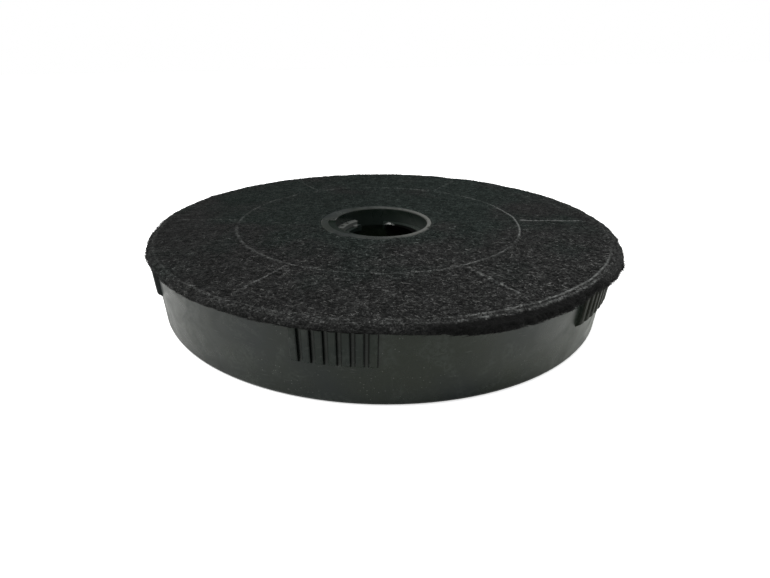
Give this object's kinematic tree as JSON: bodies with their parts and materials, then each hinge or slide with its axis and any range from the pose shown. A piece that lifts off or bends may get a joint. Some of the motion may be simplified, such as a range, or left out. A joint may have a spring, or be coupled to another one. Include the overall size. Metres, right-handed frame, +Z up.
{
  "type": "cooker hood carbon filter",
  "caption": "Round twist-on carbon filter for a cooker hood: tapered dish with grip ribs, thick felt lid, granule compartments, slotted floor and a bayonet socket through the hub.",
  "frame": {"origin": "on the dish's axis, at the height of the foot that it stands on", "axes": "+Z up along the dish's axis towards the felt; +X towards the side where the socket sits off the axis"},
  "size_m": [0.233, 0.233, 0.036],
  "materials": {
    "housing_plastic": "moulded black plastic, half gloss, faint scuffs and dust",
    "needle_felt": "coarse charcoal needle felt with loose fibres",
    "carbon_granules": "dull black broken granules",
    "fleece_mat": "thin black fleece"
  },
  "bodies": {
    "root": {"housing": "housing_plastic", "felt_lid": "needle_felt", "carbon_inner": "carbon_granules", "carbon_sector_1": "carbon_granules", "carbon_sector_2": "carbon_granules", "carbon_sector_3": "carbon_granules", "carbon_sector_4": "carbon_granules", "carbon_sector_5": "carbon_granules", "carbon_sector_6": "carbon_granules", "floor_mat_inner": "fleece_mat", "floor_mat_sector_1": "fleece_mat", "floor_mat_sector_2": "fleece_mat", "floor_mat_sector_3": "fleece_mat", "floor_mat_sector_4": "fleece_mat", "floor_mat_sector_5": "fleece_mat", "floor_mat_sector_6": "fleece_mat"}
  },
  "joints": []
}
